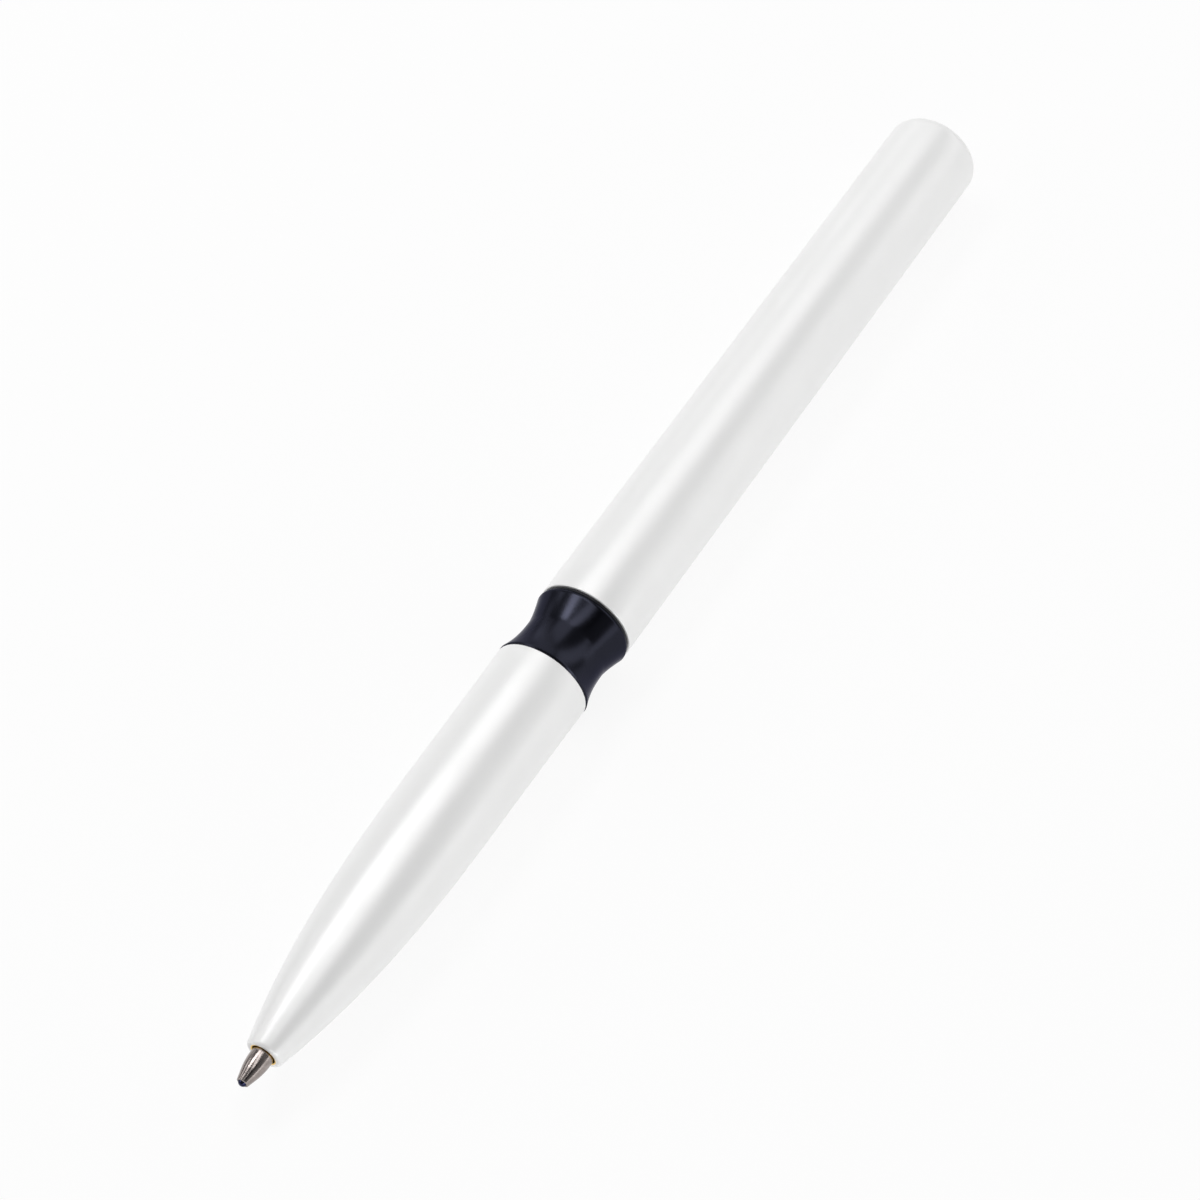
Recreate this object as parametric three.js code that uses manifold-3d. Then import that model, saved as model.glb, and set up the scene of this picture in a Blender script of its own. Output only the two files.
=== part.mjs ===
// A twist-action ballpoint pen, lying on a table with its writing tip towards -X.
// Millimetres, +Z up. Stations run along the pen from the point of the ball, at 0, to the closed end.
// The origin is the middle of the pen's length, under its axis, on the table.

import * as THREE from "three";
import { mergeVertices } from "three/addons/utils/BufferGeometryUtils.js";
import Module from "manifold-3d";

const wasm = await Module();
wasm.setup();

// Driving sizes of the shells
const FRONT_LENGTH = 48.9; // mouth to the joint with the ring
const NOSE_LENGTH = 36.0; // mouth to the end of the ogive
const NOSE_DROP = 3.25; // how much thinner the ogive is at the mouth
const NOSE_POWER = 2.8; // shape of the ogive's curve
const NOSE_EDGE_ROUND = 0.42;
const NOSE_WALL = 0.55; // least wall beside the spring's seat
const ROOM_TAPER = 1.0; // length of the taper from the spring's bore to the refill's
const FRONT_INSET = 0.02; // the front barrel lies this far inside the ring's lip
const FRONT_TAPER = 0.1; // the front barrel thins by this from the joint to the ogive
const RING_LENGTH = 8.0;
const RING_WALL = 0.48; // at the waist
const RING_LIP = 0.03; // thickness of the flared lip's edge
const WAIST_SHARE = 0.57; // where along the ring the waist lies
const LIP_CURVE = 2.4; // power of the flare towards the lip
const SHOULDER_CURVE = 1.4; // power of the flare towards the shoulder
const SHOULDER_LENGTH = 0.4; // straight stretch behind the flare
const SHOULDER_ROUND = 0.3;
const WASHER_THICKNESS = 0.25;
const WASHER_INSET = 0.2; // the washer's rim lies this far inside the barrel
const BARREL_WALL = 0.7;
const BARREL_ROOM = 18.1; // free space behind the mechanism
const END_WALL = 1.6;
const END_ROUND = 1.5;

// Driving sizes of the refill
const REFILL_LENGTH = 98.1; // point of the ball to the end of the plug
const REFILL_RADIUS = 2.97;
const REFILL_WALL = 0.25;
const BALL_RADIUS = 0.5;
const BALL_SHOWN = 0.3; // how far the ball stands out of the rim
const BALL_PLAY = 0.03;
const RIM_WALL = 0.05;
const RIM_STEP = 0.04; // how much wider the cone starts than the rim
const TIP_RADIUS = 1.15;
const TIP_CONE_LENGTH = 2.3; // point of the ball to where the cone meets the plain stretch
const TIP_ROUND = 6.0; // radius of the soft corner there
const TIP_REACH = 3.7; // how far the tip stands out of the mouth
const INK_BORE = 0.3; // radius of the channel behind the ball
const SHANK_RADIUS = 0.8;
const SHANK_LENGTH = 3.1;
const NECK_RADIUS = 1.5;
const NECK_BORE = 0.95;
const NECK_FLANGE = 22.6; // station of the neck's shoulder, the spring's moving seat
const FLANGE_THICKNESS = 0.8;
const NECK_SPIGOT = 4.0; // length of the neck inside the tube
const INK_LENGTH = 51.0;
const FOLLOWER_LENGTH = 3.0;
const PLUG_HEAD = 1.4;
const PLUG_SPIGOT = 3.0;
const PLUG_VENT = 0.5;
const PLUG_NOTCH = 1.1; // width of each notch in the plug's head
const PLUG_NOTCH_DEPTH = 0.8;
const PLUG_NOTCHES = 4;

// Driving sizes of the spring
const WIRE_RADIUS = 0.2;
const SPRING_RADIUS = 1.95; // to the middle of the wire
const SPRING_COILS = 10;

// Driving sizes of the twist mechanism
const TRAVEL = 5.5; // how far the refill slides
const TWIST = Math.PI; // how far the barrel turns for it
const LUG_RADIUS = 0.8;
const LUG_SETBACK = 5.85; // front of the driver to the lugs
const LUG_SHORT = 0.11; // the lugs end this far below the outside of the cam
const DRIVER_LENGTH = 9.4;
const DRIVER_BORE = 1.9;
const DRIVER_FRONT_WALL = 2.6;
const DWELL = THREE.MathUtils.degToRad(6); // level rest at both ends of the cam's slots
const GUIDE_WALL = 0.5;
const GUIDE_LEAD = 2.4; // the sleeve starts this far ahead of the ring
const GUIDE_SHOULDER = 0.8;
const CAM_WALL = 0.5;
const CAM_END = 2.8; // wall between a slot and the end of the cam
const CASING_WALL = 0.35;
const CASING_LEAD = 1.0; // the casing starts this far ahead of the cam's shoulder
const CASING_TAIL = 3.0; // and ends this far behind the cam
const CASING_RELIEF = 0.08; // depth between the casing's press bands
const CASING_BAND = 3.0; // length of each press band
const KEYS = 4;
const KEY_WIDTH = 1.0;
const KEY_LENGTH = 1.6;
const KEY_HEIGHT = 0.22;
const CLIP_THICKNESS = 0.5;
const CLIP_GROOVE = 0.25;
const CLIP_WIDTH = 0.7; // radial width of the clip
const CLIP_OPENING = THREE.MathUtils.degToRad(50);
const GUIDE_TAIL = 0.8; // the sleeve's end behind the clip
const CAP_SPIGOT = 1.0;
const CAP_HEAD = 0.95;

// Driving sizes of the joint between the halves
const COLLAR_WALL = 0.38;
const THREAD_LENGTH = 6.6;
const FLANGE_RING = 0.8; // thickness of the flange that clamps the ring
const SEAL_WIRE = 0.25; // radius of the friction ring's section
const SEAL_SIDE = 0.1; // room on each side of the friction ring
const REAR_FLANGE = 0.6;
const BUSH_WALL = 0.5;
const BUSH_LENGTH = 7.0;
const BUSH_BAND = 2.2;
const BUSH_RELIEF = 0.06;

// Clearances
const MOUTH_PLAY = 0.07; // between the tip and the mouth
const SPRING_PLAY = 0.2;
const REFILL_PLAY = 0.13;
const DRIVER_PLAY = 0.1;
const RUN_PLAY = 0.06; // between turning faces
const PRESS_GAP = 0.02; // between pressed faces
const FACE_GAP = 0.05; // between faces that meet end to end
const SLOT_PLAY = 0.16; // how much wider a slot is than its lug
const THREAD_GAP = 0.05;

// Facets
const SHELL_SIDES = 40;
const INNER_SIDES = 32;
const SMALL_SIDES = 20;
const NOSE_STEPS = 11;
const RING_STEPS = 6;
const CORNER_STEPS = 4;
const BALL_STEPS = 10;
const SEAL_STEPS = 8;
const COIL_STEPS = 8;
const WIRE_SIDES = 5;
const CAM_STEPS = 24;
const CLIP_STEPS = 20;
const WELD = 1e-4;

// Radii, from the refill outwards
const guideBore = REFILL_RADIUS + REFILL_PLAY;
const guideRadius = guideBore + GUIDE_WALL;
const camBore = guideRadius + RUN_PLAY;
const camRadius = camBore + CAM_WALL;
const casingBore = camRadius + PRESS_GAP;
const casingRadius = casingBore + CASING_WALL;
const barrelBore = casingRadius + PRESS_GAP;
const barrelRadius = barrelBore + BARREL_WALL;
const frontRadius = barrelRadius - FRONT_INSET;
const noseRadius = frontRadius - FRONT_TAPER;
const collarBore = guideRadius + PRESS_GAP;
const collarRadius = collarBore + COLLAR_WALL;
const flangeRadius = barrelBore - RUN_PLAY;
const ringBore = collarRadius + THREAD_GAP;
const waistRadius = ringBore + RING_WALL;
const bushBore = collarRadius + THREAD_GAP;
const bushRadius = bushBore + BUSH_WALL;
const driverRadius = guideBore - DRIVER_PLAY;
const lugTop = camRadius - LUG_SHORT;
const springBore = SPRING_RADIUS + WIRE_RADIUS + SPRING_PLAY;
const refillRoom = REFILL_RADIUS + 2 * DRIVER_PLAY;
const tubeBore = REFILL_RADIUS - REFILL_WALL;

// Stations, from the point of the ball
const mouthAt = TIP_REACH;
const noseEnd = mouthAt + NOSE_LENGTH;
const frontEnd = mouthAt + FRONT_LENGTH;
const ringStart = frontEnd + FACE_GAP;
const ringEnd = ringStart + RING_LENGTH;
const washerStart = ringEnd + FACE_GAP;
const washerEnd = washerStart + WASHER_THICKNESS;
const barrelStart = washerEnd + FACE_GAP;
const springSeat = noseStation(springBore + NOSE_WALL);
const neckStart = springSeat + 2 * SPRING_PLAY;
const tubeStart = NECK_FLANGE + FLANGE_THICKNESS + FACE_GAP;
const plugStart = REFILL_LENGTH - PLUG_HEAD;
const tubeEnd = plugStart - FACE_GAP;
const inkStart = tubeStart + NECK_SPIGOT + FACE_GAP;
const inkEnd = inkStart + INK_LENGTH;
const driverStart = REFILL_LENGTH + FACE_GAP;
const lugAt = driverStart + LUG_SETBACK;
const slotHalf = (LUG_RADIUS + SLOT_PLAY / 2) / Math.cos(Math.atan2(TRAVEL, TWIST * camBore));
const camStart = lugAt - slotHalf - CAM_END - 2 * FACE_GAP;
const camEnd = lugAt + TRAVEL + slotHalf + CAM_END;
const shoulderEnd = camStart - 2 * FACE_GAP;
const shoulderStart = shoulderEnd - GUIDE_SHOULDER;
const casingStart = shoulderStart - CASING_LEAD;
const casingEnd = camEnd + CASING_TAIL;
const clipStart = camEnd + 2 * FACE_GAP;
const clipEnd = clipStart + CLIP_THICKNESS;
const guideEnd = clipEnd + GUIDE_TAIL;
const capEnd = casingEnd + FACE_GAP + CAP_HEAD;
const barrelEnd = capEnd + BARREL_ROOM + END_WALL;
const flangeStart = ringEnd + FACE_GAP;
const flangeEnd = flangeStart + FLANGE_RING;
const sealRoomEnd = flangeEnd + 2 * (SEAL_WIRE + SEAL_SIDE);
const collarEnd = sealRoomEnd + REAR_FLANGE;
const bushStart = frontEnd - FACE_GAP - BUSH_LENGTH;

// Radius of the front shell's outside at a station: an ogive from the mouth, then a slight taper
function noseOutside(station) {
  if (station >= noseEnd) {
    const along = (station - noseEnd) / (frontEnd - noseEnd);
    return noseRadius + FRONT_TAPER * along;
  }
  const left = (noseEnd - station) / NOSE_LENGTH;
  return noseRadius - NOSE_DROP * left ** NOSE_POWER;
}

// Station at which the ogive reaches a radius
function noseStation(radius) {
  const left = ((noseRadius - radius) / NOSE_DROP) ** (1 / NOSE_POWER);
  return noseEnd - NOSE_LENGTH * left;
}

// A geometry with its shared corners merged and its empty triangles left out
function welded(geometry) {
  const bare = new THREE.BufferGeometry();
  bare.setAttribute("position", geometry.getAttribute("position"));
  bare.setIndex(geometry.index);
  const merged = mergeVertices(bare, WELD);
  const corners = merged.index.array;
  const kept = [];
  for (let i = 0; i < corners.length; i += 3) {
    const [a, b, c] = corners.slice(i, i + 3);
    if (a !== b && b !== c && c !== a) kept.push(a, b, c);
  }
  merged.setIndex(kept);
  return merged;
}

function solid(geometry) {
  const closed = welded(geometry);
  return new wasm.Manifold(
    new wasm.Mesh({
      numProp: 3,
      vertProperties: new Float32Array(closed.getAttribute("position").array),
      triVerts: new Uint32Array(closed.index.array),
    }),
  );
}

function geometryOf(body) {
  const mesh = body.getMesh();
  const geometry = new THREE.BufferGeometry();
  geometry.setAttribute("position", new THREE.BufferAttribute(mesh.vertProperties, 3));
  geometry.setIndex(new THREE.BufferAttribute(mesh.triVerts, 1));
  return geometry;
}

// An outline's corners as [station, radius] or, where it is rounded, [station, radius, round]
function rounded(outline) {
  const points = [];
  outline.forEach(([station, radius, round], i) => {
    const corner = new THREE.Vector2(station, radius);
    if (!round) {
      points.push(corner);
      return;
    }
    const before = new THREE.Vector2(...outline.at(i - 1)).sub(corner).normalize();
    const after = new THREE.Vector2(...outline[(i + 1) % outline.length]).sub(corner).normalize();
    const half = Math.acos(before.dot(after)) / 2;
    const middle = before.clone().add(after).normalize();
    const centre = corner.clone().addScaledVector(middle, round / Math.sin(half));
    const first = corner.clone().addScaledVector(before, round / Math.tan(half)).sub(centre);
    const last = corner.clone().addScaledVector(after, round / Math.tan(half)).sub(centre);
    const turn = Math.atan2(first.cross(last), first.dot(last));
    for (let step = 0; step <= CORNER_STEPS; step++) {
      const arm = first.clone().rotateAround(new THREE.Vector2(), (turn * step) / CORNER_STEPS);
      points.push(centre.clone().add(arm));
    }
  });
  return points;
}

// A closed outline turned round the pen's axis. A flat facet, not an edge, lies at the bottom.
function turned(outline, sides) {
  const points = rounded(outline).map((point) => new THREE.Vector2(point.y, point.x));
  if (THREE.ShapeUtils.isClockWise(points)) points.reverse();
  points.push(points[0].clone());
  const lathe = new THREE.LatheGeometry(points, sides, Math.PI / sides);
  lathe.rotateZ(-Math.PI / 2);
  return welded(lathe);
}

function tube(start, end, bore, radius, sides) {
  return turned([[start, bore], [start, radius], [end, radius], [end, bore]], sides);
}

// A block that reaches outwards from the axis, turned by an angle about it
function spoke(station, length, width, inner, outer, angle) {
  const block = new THREE.BoxGeometry(length, width, outer - inner);
  block.translate(station, 0, (inner + outer) / 2);
  block.rotateX(angle);
  return solid(block);
}

// A round peg that reaches outwards from the axis, turned by an angle about it
function peg(station, radius, inner, outer, angle) {
  const round = new THREE.CylinderGeometry(radius, radius, outer - inner, SMALL_SIDES);
  round.rotateX(Math.PI / 2);
  round.translate(station, 0, (inner + outer) / 2);
  round.rotateX(angle);
  return solid(round);
}

// A tube of square or round section swept along stations: rings of corners, capped at both ends
function swept(rings) {
  const sides = rings[0].length;
  const corners = rings.flat();
  const faces = [];
  for (let ring = 0; ring + 1 < rings.length; ring++) {
    for (let side = 0; side < sides; side++) {
      const a = ring * sides + side;
      const b = ring * sides + ((side + 1) % sides);
      faces.push(a, b, b + sides, a, b + sides, a + sides);
    }
  }
  const last = (rings.length - 1) * sides;
  for (let side = 1; side + 1 < sides; side++) {
    faces.push(0, side + 1, side, last, last + side, last + side + 1);
  }
  const geometry = new THREE.BufferGeometry().setFromPoints(corners);
  geometry.setIndex(faces);
  return geometry;
}

function aroundAxis(station, radius, angle) {
  return new THREE.Vector3(station, -radius * Math.sin(angle), radius * Math.cos(angle));
}

// One helical slot of the cam, as the block that cuts it
function camCutter(angle) {
  const reach = DWELL + (LUG_RADIUS + SLOT_PLAY) / camBore;
  const rings = [];
  for (let step = 0; step <= CAM_STEPS; step++) {
    const turn = -reach + ((TWIST + 2 * reach) * step) / CAM_STEPS;
    const station = lugAt + TRAVEL * THREE.MathUtils.clamp(turn / TWIST, 0, 1);
    const at = angle - turn;
    rings.push([
      aroundAxis(station - slotHalf, camBore - CAM_WALL, at),
      aroundAxis(station - slotHalf, camRadius + CAM_WALL, at),
      aroundAxis(station + slotHalf, camRadius + CAM_WALL, at),
      aroundAxis(station + slotHalf, camBore - CAM_WALL, at),
    ]);
  }
  return solid(swept(rings));
}

// Finishes
const finishes = {
  lacquer: { color: 0xf2f2f1, roughness: 0.32, metalness: 0.0 },
  blackGloss: { color: 0x191b22, roughness: 0.14, metalness: 0.0 },
  blackPlastic: { color: 0x1c1c1e, roughness: 0.5, metalness: 0.0 },
  brass: { color: 0xc9a24b, roughness: 0.32, metalness: 1.0 },
  nickelSilver: { color: 0xb3a9a2, roughness: 0.22, metalness: 1.0 },
  springSteel: { color: 0xb9bbbe, roughness: 0.25, metalness: 1.0 },
  tubeSteel: { color: 0xc4c6c9, roughness: 0.3, metalness: 1.0 },
  carbide: { color: 0x2c2f3a, roughness: 0.18, metalness: 1.0 },
  naturalPlastic: { color: 0xe9e7df, roughness: 0.45, metalness: 0.0 },
  rubber: { color: 0x202020, roughness: 0.8, metalness: 0.0 },
  inkBlue: { color: 0x10184a, roughness: 0.2, metalness: 0.0 },
  grease: { color: 0xd9d2b4, roughness: 0.35, metalness: 0.0 },
};

function part(name, finish, geometry) {
  const mesh = new THREE.Mesh(geometry, new THREE.MeshStandardMaterial(finishes[finish]));
  mesh.name = name;
  return mesh;
}

// White front shell: an ogive outside, and inside the mouth, the spring's seat and the bush's pocket
function frontBarrel() {
  const outside = [];
  for (let step = NOSE_STEPS; step >= 1; step--) {
    const station = noseEnd - (NOSE_LENGTH * step) / NOSE_STEPS;
    outside.push([station, noseOutside(station)]);
  }
  const [corner, ...rest] = outside;
  const mouthRadius = TIP_RADIUS + MOUTH_PLAY;
  const roomStart = noseStation(refillRoom + 2 * NOSE_WALL);
  const pocketRadius = bushRadius + PRESS_GAP;
  return part(
    "front_barrel",
    "lacquer",
    turned(
      [
        [frontEnd, pocketRadius],
        [bushStart - FACE_GAP, pocketRadius],
        [bushStart - FACE_GAP, refillRoom],
        [roomStart, refillRoom],
        [roomStart - ROOM_TAPER, springBore],
        [springSeat, springBore],
        [springSeat, mouthRadius],
        [mouthAt, mouthRadius],
        [...corner, NOSE_EDGE_ROUND],
        ...rest,
        [noseEnd, noseRadius],
        [frontEnd, frontRadius],
      ],
      SHELL_SIDES,
    ),
  );
}

// Black ring: a sharp flared lip in front, a waist, and a rounded shoulder behind
function centreRing() {
  const lipEnd = ringStart + RING_LIP;
  const waistAt = ringStart + WAIST_SHARE * RING_LENGTH;
  const shoulderAt = ringEnd - SHOULDER_LENGTH;
  const outside = [[ringStart, barrelRadius]];
  for (let step = 0; step < RING_STEPS; step++) {
    const left = 1 - step / RING_STEPS;
    const radius = waistRadius + (barrelRadius - waistRadius) * left ** LIP_CURVE;
    outside.push([waistAt - (waistAt - lipEnd) * left, radius]);
  }
  for (let step = 0; step < RING_STEPS; step++) {
    const along = step / RING_STEPS;
    const radius = waistRadius + (barrelRadius - waistRadius) * along ** SHOULDER_CURVE;
    outside.push([waistAt + (shoulderAt - waistAt) * along, radius]);
  }
  return part(
    "centre_ring",
    "blackGloss",
    turned(
      [
        [ringEnd, ringBore],
        [ringStart, ringBore],
        ...outside,
        [shoulderAt, barrelRadius],
        [ringEnd, barrelRadius, SHOULDER_ROUND],
      ],
      SHELL_SIDES,
    ),
  );
}

// Thin washer between the fixed ring and the turning rear shell, a dark line from outside
function slipWasher() {
  const inner = flangeRadius + RUN_PLAY / 2;
  return part(
    "slip_washer",
    "blackPlastic",
    tube(washerStart, washerEnd, inner, barrelRadius - WASHER_INSET, SHELL_SIDES),
  );
}

// White rear shell: a tube whose far end is closed, flat in the middle and round at the edge
function rearBarrel() {
  return part(
    "rear_barrel",
    "lacquer",
    turned(
      [
        [barrelEnd - END_WALL, 0],
        [barrelEnd - END_WALL, barrelBore, END_ROUND / 2],
        [barrelStart, barrelBore],
        [barrelStart, barrelRadius],
        [barrelEnd, barrelRadius, END_ROUND],
        [barrelEnd, 0],
      ],
      SHELL_SIDES,
    ),
  );
}

// Brass bush with two press bands, which takes the collar's thread
function threadBush() {
  const end = bushStart + BUSH_LENGTH;
  const low = bushRadius - BUSH_RELIEF;
  return part(
    "thread_bush",
    "brass",
    turned(
      [
        [end, bushBore],
        [bushStart, bushBore],
        [bushStart, bushRadius],
        [bushStart + BUSH_BAND, bushRadius],
        [bushStart + BUSH_BAND, low],
        [end - BUSH_BAND, low],
        [end - BUSH_BAND, bushRadius],
        [end, bushRadius],
      ],
      INNER_SIDES,
    ),
  );
}

// Brass collar: its thread goes into the bush, one flange clamps the ring, two hold the friction ring
function threadedCollar() {
  const start = frontEnd - THREAD_LENGTH;
  return part(
    "threaded_collar",
    "brass",
    turned(
      [
        [collarEnd, collarBore],
        [start, collarBore],
        [start, collarRadius],
        [flangeStart, collarRadius],
        [flangeStart, flangeRadius],
        [flangeEnd, flangeRadius],
        [flangeEnd, collarRadius],
        [sealRoomEnd, collarRadius],
        [sealRoomEnd, flangeRadius],
        [collarEnd, flangeRadius],
      ],
      SHELL_SIDES,
    ),
  );
}

// Rubber ring of round section between the collar's flanges
function frictionRing() {
  const middle = (flangeEnd + sealRoomEnd) / 2;
  const centre = collarRadius + PRESS_GAP + SEAL_WIRE;
  const outline = [];
  for (let step = 0; step < SEAL_STEPS; step++) {
    const angle = (2 * Math.PI * step) / SEAL_STEPS;
    outline.push([middle - SEAL_WIRE * Math.cos(angle), centre - SEAL_WIRE * Math.sin(angle)]);
  }
  return part("friction_ring", "rubber", turned(outline, INNER_SIDES));
}

// Plastic sleeve with two straight slots for the lugs, a shoulder for the cam and a clip groove
function guideSleeve() {
  const start = ringStart - GUIDE_LEAD;
  const shoulderRadius = casingBore - RUN_PLAY;
  const groove = guideRadius - CLIP_GROOVE;
  const body = solid(
    turned(
      [
        [guideEnd, guideBore],
        [start, guideBore],
        [start, guideRadius],
        [shoulderStart, guideRadius],
        [shoulderStart, shoulderRadius],
        [shoulderEnd, shoulderRadius],
        [shoulderEnd, guideRadius],
        [clipStart, guideRadius],
        [clipStart, groove],
        [clipEnd, groove],
        [clipEnd, guideRadius],
        [guideEnd, guideRadius],
      ],
      INNER_SIDES,
    ),
  );
  const width = 2 * LUG_RADIUS + SLOT_PLAY;
  const middle = lugAt + TRAVEL / 2;
  const reach = [guideBore - GUIDE_WALL, guideRadius + RUN_PLAY];
  const slots = [0, Math.PI].map((angle) => spoke(middle, TRAVEL + width, width, ...reach, angle));
  return part("guide_sleeve", "naturalPlastic", geometryOf(slots.reduce((a, b) => a.subtract(b), body)));
}

// Split spring clip in the guide sleeve's groove
function retainingClip() {
  const inner = guideRadius - CLIP_GROOVE + PRESS_GAP;
  const outer = inner + CLIP_WIDTH;
  const sweep = 2 * Math.PI - CLIP_OPENING;
  const near = clipStart + PRESS_GAP;
  const far = clipEnd - PRESS_GAP;
  const rings = [];
  for (let step = 0; step <= CLIP_STEPS; step++) {
    const at = Math.PI - CLIP_OPENING / 2 - (sweep * step) / CLIP_STEPS;
    rings.push([
      aroundAxis(near, inner, at),
      aroundAxis(near, outer, at),
      aroundAxis(far, outer, at),
      aroundAxis(far, inner, at),
    ]);
  }
  return part("retaining_clip", "springSteel", geometryOf(solid(swept(rings))));
}

// Plastic cam with two helical slots, half a turn apart, and four keys in front
function camSleeve() {
  const body = solid(tube(camStart, camEnd, camBore, camRadius, INNER_SIDES));
  const cut = [0, Math.PI].reduce((left, angle) => left.subtract(camCutter(angle)), body);
  const keyAt = camStart + KEY_LENGTH / 2;
  const wide = KEY_WIDTH - SLOT_PLAY / 2;
  const keys = keyAngles().map((angle) =>
    spoke(keyAt, KEY_LENGTH, wide, camRadius - CAM_WALL / 2, camRadius + KEY_HEIGHT, angle),
  );
  return part("cam_sleeve", "blackPlastic", geometryOf(keys.reduce((a, b) => a.add(b), cut)));
}

function keyAngles() {
  return Array.from({ length: KEYS }, (_, i) => ((i + 0.5) * 2 * Math.PI) / KEYS);
}

// Brass casing pressed into the rear shell, notched in front for the cam's keys
function rotorCasing() {
  const low = casingRadius - CASING_RELIEF;
  const body = solid(
    turned(
      [
        [casingEnd, casingBore],
        [casingStart, casingBore],
        [casingStart, low],
        [camStart + KEY_LENGTH + CASING_BAND, low],
        [camStart + KEY_LENGTH + CASING_BAND, casingRadius],
        [camStart + KEY_LENGTH + 2 * CASING_BAND, casingRadius],
        [camStart + KEY_LENGTH + 2 * CASING_BAND, low],
        [casingEnd - CASING_BAND, low],
        [casingEnd - CASING_BAND, casingRadius],
        [casingEnd, casingRadius],
      ],
      INNER_SIDES,
    ),
  );
  const notchEnd = camStart + KEY_LENGTH + 2 * FACE_GAP;
  const length = notchEnd - casingStart + CASING_WALL;
  const notches = keyAngles().map((angle) =>
    spoke(notchEnd - length / 2, length, KEY_WIDTH, casingBore - CASING_WALL, barrelBore, angle),
  );
  return part("rotor_casing", "brass", geometryOf(notches.reduce((a, b) => a.subtract(b), body)));
}

// Plastic cap that closes the casing
function casingCap() {
  const spigotStart = casingEnd - CAP_SPIGOT;
  const spigotRadius = casingBore - PRESS_GAP;
  const dish = spigotRadius - CAM_WALL;
  return part(
    "casing_cap",
    "blackPlastic",
    turned(
      [
        [capEnd - CAP_HEAD / 2, 0],
        [capEnd - CAP_HEAD / 2, dish],
        [spigotStart, dish],
        [spigotStart, spigotRadius],
        [casingEnd + FACE_GAP, spigotRadius],
        [casingEnd + FACE_GAP, casingRadius],
        [capEnd, casingRadius],
        [capEnd, 0],
      ],
      INNER_SIDES,
    ),
  );
}

// Plunger with two lugs, each through a straight slot and into a helical one
function driver() {
  const end = driverStart + DRIVER_LENGTH;
  const body = solid(
    turned(
      [
        [driverStart + DRIVER_FRONT_WALL, 0],
        [driverStart + DRIVER_FRONT_WALL, DRIVER_BORE],
        [end, DRIVER_BORE],
        [end, driverRadius],
        [driverStart, driverRadius],
        [driverStart, 0],
      ],
      INNER_SIDES,
    ),
  );
  const root = (DRIVER_BORE + driverRadius) / 2;
  const lugs = [0, Math.PI].map((angle) => peg(lugAt, LUG_RADIUS, root, lugTop, angle));
  return part("driver", "naturalPlastic", geometryOf(lugs.reduce((a, b) => a.add(b), body)));
}

// Point of the pen: a rim spun over the ball, a cone, a plain stretch and a shank for the neck
function tipCone() {
  const socket = BALL_RADIUS + BALL_PLAY;
  const rimAt = BALL_SHOWN;
  const rimBore = Math.sqrt(socket ** 2 - (BALL_RADIUS - rimAt) ** 2);
  const seatEnd = BALL_RADIUS + Math.sqrt(socket ** 2 - INK_BORE ** 2);
  const shankEnd = neckStart + SHANK_LENGTH;
  const cup = [];
  for (let step = 0; step <= CORNER_STEPS; step++) {
    const station = seatEnd + ((rimAt - seatEnd) * step) / CORNER_STEPS;
    cup.push([station, Math.sqrt(socket ** 2 - (station - BALL_RADIUS) ** 2)]);
  }
  return part(
    "tip_cone",
    "nickelSilver",
    turned(
      [
        [shankEnd, INK_BORE],
        ...cup,
        [rimAt, rimBore + RIM_WALL],
        [rimAt + RIM_WALL, socket + RIM_WALL + RIM_STEP],
        [TIP_CONE_LENGTH, TIP_RADIUS, TIP_ROUND],
        [neckStart - FACE_GAP, TIP_RADIUS],
        [neckStart - FACE_GAP, SHANK_RADIUS],
        [shankEnd, SHANK_RADIUS],
      ],
      INNER_SIDES,
    ),
  );
}

// Hard ball, free to roll in the tip's socket. Both poles of its outline lie exactly on the axis.
function writingBall() {
  const outline = [];
  for (let step = 0; step <= BALL_STEPS; step++) {
    const angle = (Math.PI * step) / BALL_STEPS;
    outline.push([BALL_RADIUS - BALL_RADIUS * Math.cos(angle), BALL_RADIUS * Math.sin(angle)]);
  }
  outline[0][1] = 0;
  outline[BALL_STEPS][1] = 0;
  return part("writing_ball", "carbide", turned(outline, SMALL_SIDES));
}

// Plastic neck: a socket for the tip's shank, a shoulder for the spring and a spigot for the tube
function refillNeck() {
  const shankRoom = SHANK_RADIUS + PRESS_GAP;
  const shankEnd = neckStart + SHANK_LENGTH + FACE_GAP;
  const spigotEnd = tubeStart + NECK_SPIGOT;
  const shoulder = NECK_FLANGE + FLANGE_THICKNESS;
  return part(
    "refill_neck",
    "naturalPlastic",
    turned(
      [
        [spigotEnd, NECK_BORE],
        [shankEnd, NECK_BORE],
        [shankEnd, shankRoom],
        [neckStart, shankRoom],
        [neckStart, NECK_RADIUS],
        [NECK_FLANGE, NECK_RADIUS],
        [NECK_FLANGE, springBore],
        [shoulder, REFILL_RADIUS],
        [tubeStart - FACE_GAP, REFILL_RADIUS],
        [tubeStart - FACE_GAP, tubeBore - PRESS_GAP],
        [spigotEnd, tubeBore - PRESS_GAP],
      ],
      INNER_SIDES,
    ),
  );
}

// Steel tube that holds the ink
function refillTube() {
  return part("refill_tube", "tubeSteel", tube(tubeStart, tubeEnd, tubeBore, REFILL_RADIUS, INNER_SIDES));
}

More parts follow.
